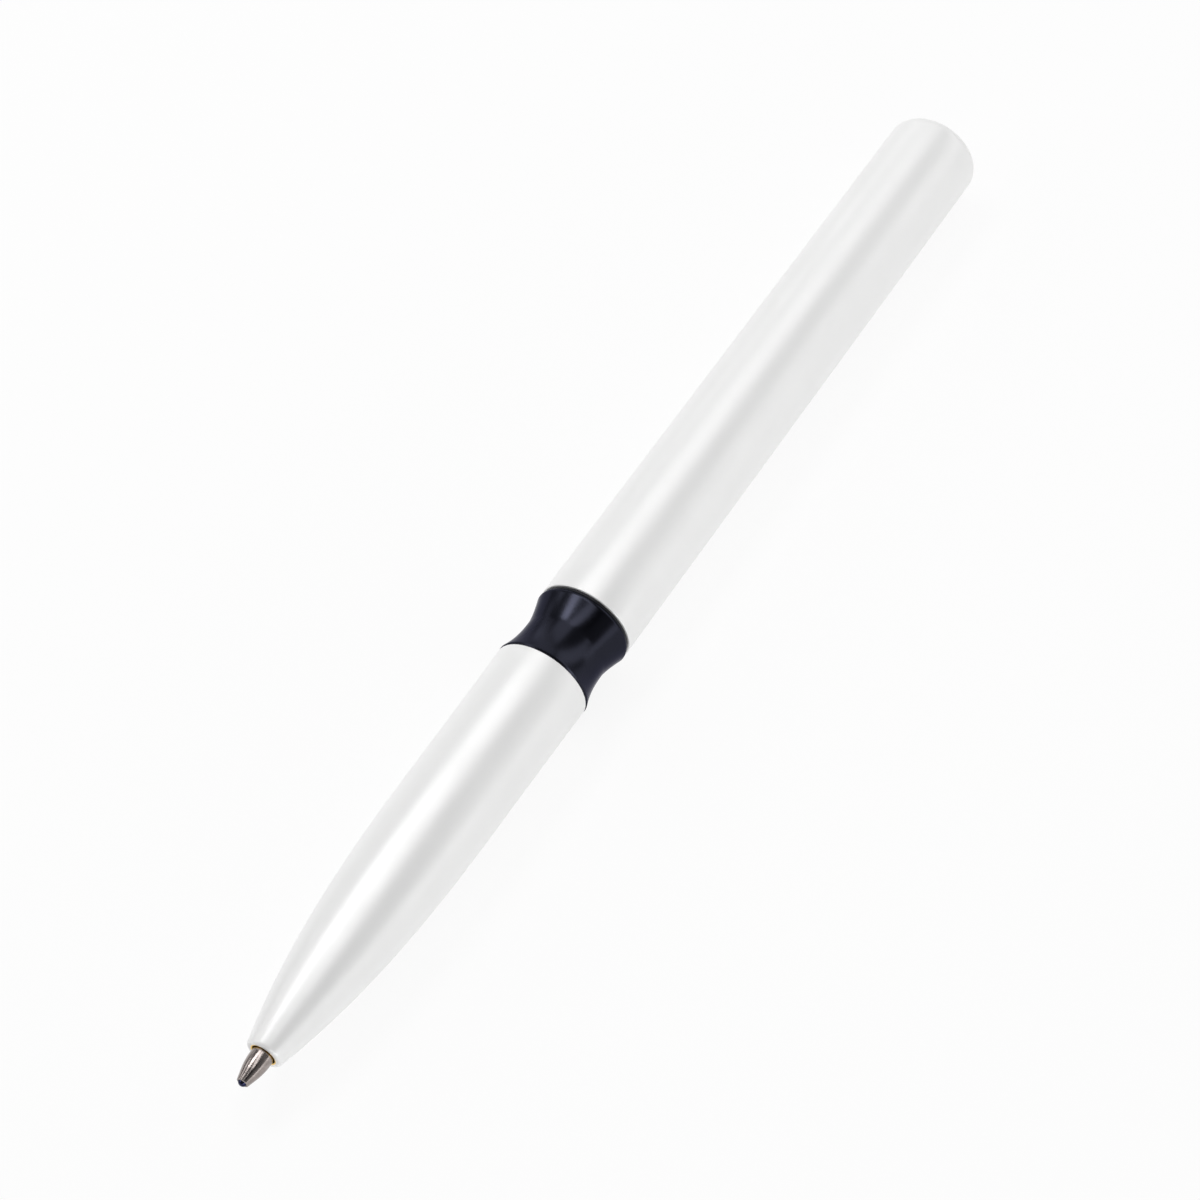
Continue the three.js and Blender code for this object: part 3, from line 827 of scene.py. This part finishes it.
class Workshop:
    """What every sub-assembly works with: the pen's frame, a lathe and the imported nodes."""

    def __init__(self, nodes: dict[str, bpy.types.Object]) -> None:
        """Set the workshop up.

        Args:
            nodes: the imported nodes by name.
        """
        self.pen = PenFrame.read()
        self.lathe = Lathe(self.pen)
        self.nodes = nodes
        self.materials: dict[str, bpy.types.Material] = {}

    def coat(self, piece: bpy.types.Object, finish: Finish) -> None:
        """Put a finish on a piece, with its material built the first time.

        Args:
            piece: the piece.
            finish: its finish.
        """
        if finish.name not in self.materials:
            self.materials[finish.name] = finish.material(self.pen)
        piece.data.materials.clear()
        piece.data.materials.append(self.materials[finish.name])

    def fit(self, piece: bpy.types.Object, body: str, finish: Finish, node: str) -> bpy.types.Object:
        """Dress a new piece and let it stand for a node.

        Args:
            piece: the new piece.
            body: the body that it moves with.
            finish: its finish.
            node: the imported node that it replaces.

        Returns:
            The same piece.
        """
        self.coat(piece, finish)
        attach(piece, body)
        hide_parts(node)
        return piece

    def dress(self, node: str, finish: Finish) -> bpy.types.Object:
        """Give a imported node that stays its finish.

        Args:
            node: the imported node's name.
            finish: its finish.

        Returns:
            The node's object.
        """
        piece = self.nodes[node]
        self.coat(piece, finish)
        return piece


@dataclass
class FrontHalf:
    """The white front shell, an ogive down to the mouth, and the bush pressed into it.

    shop: the workshop.
    nose_length: length of the ogive.
    nose_drop: how much narrower the ogive is at the mouth than at its root.
    nose_power: power of its curve; a higher one keeps it wide for longer.
    nose_steps: straight stretches along it.
    taper: how much narrower the shell is at the ogive's root than at the ring.
    mouth_bore: radius of the mouth.
    mouth_fillet: radius of its outer edge.
    mouth_chamfer: width of the chamfer at its inner edge.
    spring_bore: radius of the spring's room.
    nose_wall: half the wall at the front of the refill's room.
    room_radius: radius of the refill's room.
    room_taper: length over which that room narrows to the spring's.
    joint_fillet: radius of the edge at the ring.
    """

    shop: Workshop
    nose_length: float = 36.0
    nose_drop: float = 3.25
    nose_power: float = 2.8
    nose_steps: int = 48
    taper: float = 0.1
    mouth_bore: float = 1.27
    mouth_fillet: float = 0.36
    mouth_chamfer: float = 0.05
    spring_bore: float = 2.35
    nose_wall: float = 0.55
    room_radius: float = 3.17
    room_taper: float = 1.0
    joint_fillet: float = 0.1

    def build(self) -> list[bpy.types.Object]:
        """Build the shell and dress the bush."""
        return [self.front_shell(), self.shop.dress("thread_bush", BRASS)]

    def _drop(self, radius: float, nose_end: float, nose_radius: float) -> float:
        """Find the station at which the ogive reaches a radius."""
        share = ((nose_radius - radius) / self.nose_drop) ** (1 / self.nose_power)
        return nose_end - self.nose_length * share

    def front_shell(self) -> bpy.types.Object:
        """Turn the front shell.

        Returns:
            The finished piece.
        """
        pen = self.shop.pen
        start, end = pen.stations("front_barrel")
        radius = pen.radius("front_barrel")
        nose_end = start + self.nose_length
        nose_radius = radius - self.taper
        pocket = pen.radius("thread_bush") + PRESS_GAP
        pocket_start = pen.stations("thread_bush")[0] - FACE_GAP
        seat = pen.stations("return_spring")[0] - FACE_GAP
        room_start = self._drop(self.room_radius + 2 * self.nose_wall, nose_end, nose_radius)
        ogive = []
        for step in range(self.nose_steps + 1):
            left = 1 - step / self.nose_steps
            fall = self.nose_drop * left**self.nose_power
            fillet = self.mouth_fillet if step == 0 else 0.0
            ogive.append(Corner(nose_end - self.nose_length * left, nose_radius - fall, fillet))
        piece = self.shop.lathe.turn(
            "front_shell",
            [
                Corner(end, pocket),
                Corner(pocket_start, pocket),
                Corner(pocket_start, self.room_radius),
                Corner(room_start, self.room_radius),
                Corner(room_start - self.room_taper, self.spring_bore),
                Corner(seat, self.spring_bore),
                Corner(seat, self.mouth_bore),
                Corner(start + self.mouth_chamfer, self.mouth_bore),
                Corner(start, self.mouth_bore + self.mouth_chamfer),
                *ogive,
                Corner(end, radius, self.joint_fillet),
            ],
        )
        return self.shop.fit(piece, "grip", WHITE_LACQUER, "front_barrel")


@dataclass
class CentreJoint:
    """The black ring and what holds it between the two halves.

    shop: the workshop.
    bore: radius of the ring's bore.
    waist_wall: its wall at the waist.
    lip: width of the front lip's rim.
    lip_chamfer: width of the chamfer in front of the rim.
    waist_share: where the waist lies, as a share of the ring's length from the front.
    lip_curve: power of the curve from the waist to the lip.
    shoulder_curve: power of the curve from there to the shoulder.
    shoulder_length: length of the straight shoulder.
    shoulder_fillet: radius of its rear edge.
    curve_steps: straight stretches along each curve.
    """

    shop: Workshop
    bore: float = 4.05
    waist_wall: float = 0.48
    lip: float = 0.02
    lip_chamfer: float = 0.18
    waist_share: float = 0.57
    lip_curve: float = 2.4
    shoulder_curve: float = 1.4
    shoulder_length: float = 0.4
    shoulder_fillet: float = 0.3
    curve_steps: int = 24

    def build(self) -> list[bpy.types.Object]:
        """Build the ring and the washer, and dress what they hide."""
        return [
            self.centre_band(),
            self.washer(),
            self.shop.dress("threaded_collar", BRASS),
            self.shop.dress("friction_ring", SEAL_RUBBER),
        ]

    def _flare(self, start: float, end: float, radius: float, power: float) -> list[Corner]:
        """Curve from the waist out to a flared edge.

        Args:
            start: station of the waist.
            end: station of the edge.
            radius: radius at the edge.
            power: shape of the curve.

        Returns:
            The curve's corners, from the waist to the edge.
        """
        waist = self.bore + self.waist_wall
        curve = []
        for step in range(self.curve_steps + 1):
            along = step / self.curve_steps
            curve.append(Corner(start + (end - start) * along, waist + (radius - waist) * along**power))
        return curve

    def centre_band(self) -> bpy.types.Object:
        """Turn the ring: a sharp flared lip in front, a waist and a rounded shoulder.

        Returns:
            The finished piece.
        """
        pen = self.shop.pen
        start, end = pen.stations("centre_ring")
        radius = pen.radius("centre_ring")
        waist_at = start + self.waist_share * (end - start)
        front = self._flare(waist_at, start + self.lip_chamfer + self.lip, radius, self.lip_curve)
        rear = self._flare(waist_at, end - self.shoulder_length, radius, self.shoulder_curve)
        piece = self.shop.lathe.turn(
            "centre_band",
            [
                Corner(end, self.bore),
                Corner(start, self.bore),
                Corner(start, radius - self.lip_chamfer),
                Corner(start + self.lip_chamfer, radius),
                *reversed(front[1:]),
                *rear,
                Corner(end, radius, self.shoulder_fillet),
            ],
        )
        return self.shop.fit(piece, "grip", BLACK_GLOSS, "centre_ring")

    def washer(self) -> bpy.types.Object:
        """Turn the thin washer that shows as a dark line behind the ring.

        Returns:
            The finished piece.
        """
        pen = self.shop.pen
        start, end = pen.stations("slip_washer")
        radius = pen.radius("slip_washer")
        bore = pen.radius("threaded_collar") + PRESS_GAP
        piece = self.shop.lathe.turn(
            "ring_washer",
            [Corner(end, bore), Corner(start, bore), Corner(start, radius), Corner(end, radius)],
        )
        return self.shop.fit(piece, "grip", BLACK_PLASTIC, "slip_washer")


@dataclass
class RearHalf:
    """The white rear shell, whose end is closed, flat in the middle and round at the edge.

    shop: the workshop.
    wall: the shell's wall.
    end_wall: thickness of the closed end.
    end_fillet: radius of the closed end's edge, and half of it inside.
    joint_fillet: radius of the edge at the washer.
    """

    shop: Workshop
    wall: float = 0.7
    end_wall: float = 1.6
    end_fillet: float = 1.5
    joint_fillet: float = 0.12

    def build(self) -> list[bpy.types.Object]:
        """Build the shell.

        Returns:
            The shell alone, in a list.
        """
        pen = self.shop.pen
        start, end = pen.stations("rear_barrel")
        radius = pen.radius("rear_barrel")
        bore = radius - self.wall
        piece = self.shop.lathe.turn(
            "rear_shell",
            [
                Corner(end - self.end_wall, 0.0),
                Corner(end - self.end_wall, bore, self.end_fillet / 2),
                Corner(start, bore),
                Corner(start, radius, self.joint_fillet),
                Corner(end, radius, self.end_fillet),
                Corner(end, 0.0),
            ],
        )
        return [self.shop.fit(piece, "barrel", WHITE_LACQUER, "rear_barrel")]


@dataclass
class Refill:
    """The metal point with its ball, and the tube of ink behind it.

    shop: the workshop.
    ball_radius: radius of the ball.
    ball_shown: how far the ball stands out of its rim.
    ball_play: gap round the ball.
    ball_facets: facets round the ball.
    ink_bore: radius of the channel behind the ball.
    rim_wall: wall and height of the rim round the ball.
    rim_step: step from the rim out to the cone.
    rim_fillet: radius of the rim's edge.
    cone_length: station at which the cone ends.
    cone_fillet: radius of the bend behind the cone.
    shank_radius: radius of the shank in the neck.
    cup_steps: straight stretches along the ball's socket.
    """

    shop: Workshop
    ball_radius: float = 0.5
    ball_shown: float = 0.3
    ball_play: float = 0.03
    ball_facets: int = 48
    ink_bore: float = 0.3
    rim_wall: float = 0.05
    rim_step: float = 0.04
    rim_fillet: float = 0.02
    cone_length: float = 2.3
    cone_fillet: float = 6.0
    shank_radius: float = 0.8
    cup_steps: int = 10

    def build(self) -> list[bpy.types.Object]:
        """Build the point and the ball, and dress the rest."""
        return [
            self.point(),
            self.ball(),
            self.shop.dress("refill_tube", REFILL_STEEL),
            self.shop.dress("refill_neck", NATURAL_PLASTIC),
            self.shop.dress("refill_plug", NATURAL_PLASTIC),
            self.shop.dress("ink", INK_PASTE),
            self.shop.dress("ink_follower", FOLLOWER_GREASE),
        ]

    def _cup(self) -> list[Corner]:
        """Curve the socket round the ball, from its seat to the rim.

        Returns:
            The curve's corners.
        """
        socket = self.ball_radius + self.ball_play
        seat = self.ball_radius + math.sqrt(socket**2 - self.ink_bore**2)
        curve = []
        for step in range(self.cup_steps + 1):
            station = seat + (self.ball_shown - seat) * step / self.cup_steps
            curve.append(Corner(station, math.sqrt(socket**2 - (station - self.ball_radius) ** 2)))
        return curve

    def point(self) -> bpy.types.Object:
        """Turn the point: a rim round the ball, a cone, a plain stretch and a shank.

        Returns:
            The finished piece.
        """
        pen = self.shop.pen
        shank_end = pen.stations("tip_cone")[1]
        radius = pen.radius("tip_cone")
        plain_end = pen.stations("refill_neck")[0] - FACE_GAP
        cup = self._cup()
        rim = cup[-1].radius + self.rim_wall
        cone_root = self.ball_radius + self.ball_play + self.rim_wall + self.rim_step
        piece = self.shop.lathe.turn(
            "writing_point",
            [
                Corner(shank_end, self.ink_bore),
                *cup,
                Corner(self.ball_shown, rim, self.rim_fillet),
                Corner(self.ball_shown + self.rim_wall, cone_root),
                Corner(self.cone_length, radius, self.cone_fillet),
                Corner(plain_end, radius),
                Corner(plain_end, self.shank_radius),
                Corner(shank_end, self.shank_radius),
            ],
            steps=SMALL_TURN_STEPS,
        )
        return self.shop.fit(piece, "refill", NICKEL_SILVER, "tip_cone")

    def ball(self) -> bpy.types.Object:
        """Make the ball.

        Returns:
            The finished piece.
        """
        work = bmesh.new()
        bmesh.ops.create_uvsphere(
            work,
            u_segments=self.ball_facets,
            v_segments=self.ball_facets // 2,
            radius=self.ball_radius,
            matrix=Matrix.Translation((self.ball_radius, 0.0, 0.0)),
        )
        piece = self.shop.lathe.finish("carbide_ball", work)
        return self.shop.fit(piece, "ball", CARBIDE, "writing_ball")


@dataclass
class ReturnSpring:
    """The coiled wire between the front shell's seat and the refill's shoulder.

    shop: the workshop.
    wire_radius: radius of the wire.
    coil_radius: from the pen's axis to the middle of the wire.
    open_coils: coils between the closed ones.
    coil_steps: straight stretches in one coil.
    wire_facets: facets round the wire.
    coil_play: gap beside a closed coil.
    """

    shop: Workshop
    wire_radius: float = 0.2
    coil_radius: float = 1.95
    open_coils: int = 8
    coil_steps: int = 32
    wire_facets: int = 12
    coil_play: float = 0.02

    def build(self) -> list[bpy.types.Object]:
        """Wind the spring, with a closed coil at each end.

        Returns:
            The spring alone, in a list.
        """
        pen = self.shop.pen
        start, end = pen.stations("return_spring")
        closed_pitch = 2 * self.wire_radius + self.coil_play
        open_length = end - start - 2 * self.wire_radius - 2 * closed_pitch
        work = bmesh.new()
        wire = bmesh.ops.create_circle(
            work,
            cap_ends=False,
            radius=self.wire_radius,
            segments=self.wire_facets,
            matrix=Matrix.Translation((start + self.wire_radius, 0.0, self.coil_radius))
            @ Matrix.Rotation(math.pi / 2, 4, "X"),
        )
        last = wire["verts"] + work.edges[:]
        last = self._wind(work, last, 1, closed_pitch)
        last = self._wind(work, last, self.open_coils, open_length / self.open_coils)
        self._wind(work, last, 1, closed_pitch)
        ends = [edge for edge in work.edges if edge.is_boundary]
        bmesh.ops.holes_fill(work, edges=ends, sides=0)
        piece = self.shop.lathe.finish("wound_spring", work)
        self.shop.coat(piece, SPRING_STEEL)
        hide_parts("return_spring")
        moving = end - closed_pitch - 2 * self.wire_radius
        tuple(pen.place(start))
        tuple(pen.place(moving))
        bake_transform(piece)
        return [piece]

    def _wind(
        self, work: bmesh.types.BMesh, ring: WireRing, coils: int, pitch: float
    ) -> WireRing:
        """Wind the wire on from its last ring.

        Args:
            work: the spring's mesh.
            ring: the wire's last ring.
            coils: how many turns to wind.
            pitch: how far one turn goes along the pen.

        Returns:
            The new last ring.
        """
        spun = bmesh.ops.spin(
            work,
            geom=ring,
            cent=(0, 0, 0),
            axis=(1, 0, 0),
            dvec=(pitch / self.coil_steps, 0, 0),
            angle=2 * math.pi * coils,
            steps=coils * self.coil_steps,
            use_merge=False,
            use_duplicate=False,
        )
        return spun["geom_last"]


@dataclass
class TwistAction:
    """The cam, its casing and the plunger that slide the refill.

    shop: the workshop.
    finishes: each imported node's finish.
    """

    shop: Workshop
    finishes: dict[str, Finish] = field(
        default_factory=lambda: {
            "guide_sleeve": NATURAL_PLASTIC,
            "retaining_clip": SPRING_STEEL,
            "cam_sleeve": BLACK_PLASTIC,
            "rotor_casing": BRASS,
            "casing_cap": BLACK_PLASTIC,
            "driver": NATURAL_PLASTIC,
        }
    )

    def build(self) -> list[bpy.types.Object]:
        """Dress the mechanism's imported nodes."""
        return [self.shop.dress(node, finish) for node, finish in self.finishes.items()]


@dataclass(frozen=True)
class SoftBox:
    """A studio lamp with an even oblong face, which faces the middle of the pen.

    name: the lamp's name.
    place: the middle of its face, in metres.
    width: its width, in metres.
    height: its height, in metres.
    watts: its power.
    """

    name: str
    place: Place
    width: float
    height: float
    watts: float

    def hang(self) -> None:
        """Add the lamp to the scene."""
        lamp = bpy.data.lights.new(self.name, "AREA")
        lamp.shape = "RECTANGLE"
        lamp.size = self.width
        lamp.size_y = self.height
        lamp.energy = self.watts
        piece = add_object(self.name, lamp)
        piece.location = self.place
        piece.rotation_euler = (-Vector(self.place)).to_track_quat("-Z", "Y").to_euler()


@dataclass
class Studio:
    """The camera, the pale table and the soft light round the pen.

    lens: the camera's focal length.
    sensor: width of its sensor.
    nearest: its near limit, in metres.
    elevation: how steeply it looks down, in degrees.
    heading: which way it looks, counter-clockwise from the pen's direction, in degrees.
    stand: its place, in metres.
    table_width: width of the table, in metres.
    table_colour: colour of the table as light falls on it.
    table_glow: share of plain white in what the camera and mirrors see of it.
    sky_strength: light of the room outside the dark side.
    dark_side: direction in which the room is dark, high up on the camera's side.
    dark_core: how far from that direction the room is darkest, in degrees.
    dark_reach: how far from it the room is darker at all, in degrees.
    lamps: the lamps.
    """

    lens: float = 101.47
    sensor: float = 36.0
    nearest: float = 0.01
    elevation: float = 54.12
    heading: float = 31.1
    stand: Place = (-0.1763, -0.1036, 0.2829)
    table_width: float = 8.0
    table_colour: Colour = (0.92, 0.92, 0.92)
    table_glow: float = 0.9
    sky_strength: float = 0.2
    dark_side: Place = (-0.15, -0.33, 0.93)
    dark_core: float = 15.0
    dark_reach: float = 28.0
    lamps: tuple[SoftBox, ...] = (
        SoftBox("key_box", (0.03, 0.32, 0.62), 0.3, 0.2, 1.25),
        SoftBox("wide_box", (0.4, 0.2, 0.66), 0.45, 0.45, 0.78),
        SoftBox("over_box", (0.05, -0.06, 0.69), 0.45, 0.2, 0.75),
        SoftBox("left_strip", (0.38, 0.66, 0.2), 0.6, 0.2, 0.3),
        SoftBox("side_box", (-0.05, 0.62, 0.33), 0.22, 0.14, 0.2),
        SoftBox("right_strip", (0.0, -0.7, 0.12), 1.2, 0.2, 1.1),
        SoftBox("near_left_box", (-0.45, 0.55, 0.35), 0.4, 0.3, 0.92),
        SoftBox("far_left_box", (0.75, 0.4, 0.34), 0.85, 0.4, 0.92),
        SoftBox("far_right_box", (0.75, -0.45, 0.4), 0.85, 0.4, 1.45),
        SoftBox("low_box", (-0.6, -0.6, 0.15), 0.6, 0.2, 1.6),
    )

    def build(self) -> None:
        """Set the scene up."""
        bpy.context.scene.view_settings.view_transform = "Standard"
        self._camera()
        self._table()
        self._sky()
        for lamp in self.lamps:
            lamp.hang()

    def _camera(self) -> None:
        """Stand the camera where the photograph was taken from."""
        camera = bpy.data.cameras.new("camera")
        camera.lens = self.lens
        camera.sensor_width = self.sensor
        camera.clip_start = self.nearest
        piece = add_object("camera", camera)
        piece.location = self.stand
        tilt = math.radians(90.0 - self.elevation)
        turn = math.radians(self.heading - 90.0)
        piece.rotation_euler = (tilt, 0.0, turn)
        bpy.context.scene.camera = piece

    def _table(self) -> None:
        """Lay a pale table under the pen, which looks white but keeps the pen's shadow."""
        work = bmesh.new()
        bmesh.ops.create_grid(work, x_segments=1, y_segments=1, size=self.table_width / 2)
        mesh = bpy.data.meshes.new("table_top")
        work.to_mesh(mesh)
        work.free()
        table = add_object("table_top", mesh)
        material, wiring = new_material("table_top")
        paint = wiring.add("ShaderNodeBsdfDiffuse")
        wiring.feed(paint, color=(*self.table_colour, 1.0))
        glow = wiring.add("ShaderNodeEmission")
        wiring.feed(glow, color=WHITE, strength=1.0)
        share = wiring.sum("MULTIPLY", self._seen(wiring), self.table_glow)
        mix = wiring.add("ShaderNodeMixShader")
        wiring.tree.links.new(share, mix.inputs[0])
        wiring.tree.links.new(paint.outputs["BSDF"], mix.inputs[1])
        wiring.tree.links.new(glow.outputs["Emission"], mix.inputs[2])
        output = wiring.add("ShaderNodeOutputMaterial")
        wiring.feed(output, surface=mix.outputs["Shader"])
        mesh.materials.append(material)

    @staticmethod
    def _seen(wiring: Wiring) -> bpy.types.NodeSocket:
        """Give 1 for what the camera sees, also in metal or through glass, and else 0.

        Args:
            wiring: the wiring of the table's material.

        Returns:
            The socket that holds the number.
        """
        path = wiring.add("ShaderNodeLightPath")
        mirrored = wiring.sum(
            "MAXIMUM", path.outputs["Is Glossy Ray"], path.outputs["Is Transmission Ray"]
        )
        return wiring.sum("MAXIMUM", path.outputs["Is Camera Ray"], mirrored)

    def _sky(self) -> None:
        """Fill the room with a dim light, even but for the dark side."""
        world = bpy.data.worlds.new("studio")
        world.use_nodes = True
        wiring = Wiring(world.node_tree)
        place = wiring.add("ShaderNodeTexCoord")
        towards = wiring.add("ShaderNodeVectorMath", operation="DOT_PRODUCT")
        wiring.tree.links.new(place.outputs["Generated"], towards.inputs[0])
        towards.inputs[1].default_value = Vector(self.dark_side).normalized()
        fade = wiring.add("ShaderNodeMapRange", interpolation_type="SMOOTHSTEP")
        wiring.feed(
            fade,
            value=towards.outputs["Value"],
            from_min=math.cos(math.radians(self.dark_reach)),
            from_max=math.cos(math.radians(self.dark_core)),
            to_min=self.sky_strength,
            to_max=0.0,
        )
        background = world.node_tree.nodes["Background"]
        wiring.feed(background, color=WHITE, strength=fade.outputs["Result"])
        bpy.context.scene.world = world


def main() -> None:
    """Load the frame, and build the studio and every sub-assembly."""
    logging.basicConfig(level=logging.INFO, format="%(name)s: %(message)s")
    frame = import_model()
    shop = Workshop(frame["nodes"])
    Studio().build()
    assemblies = (
        FrontHalf(shop),
        CentreJoint(shop),
        RearHalf(shop),
        Refill(shop),
        ReturnSpring(shop),
        TwistAction(shop),
    )
    for assembly in assemblies:
        for piece in assembly.build():
            LOG.info("%s: %s, %d faces", type(assembly).__name__, piece.name, len(piece.data.polygons))


if __name__ == "__main__":
    main()
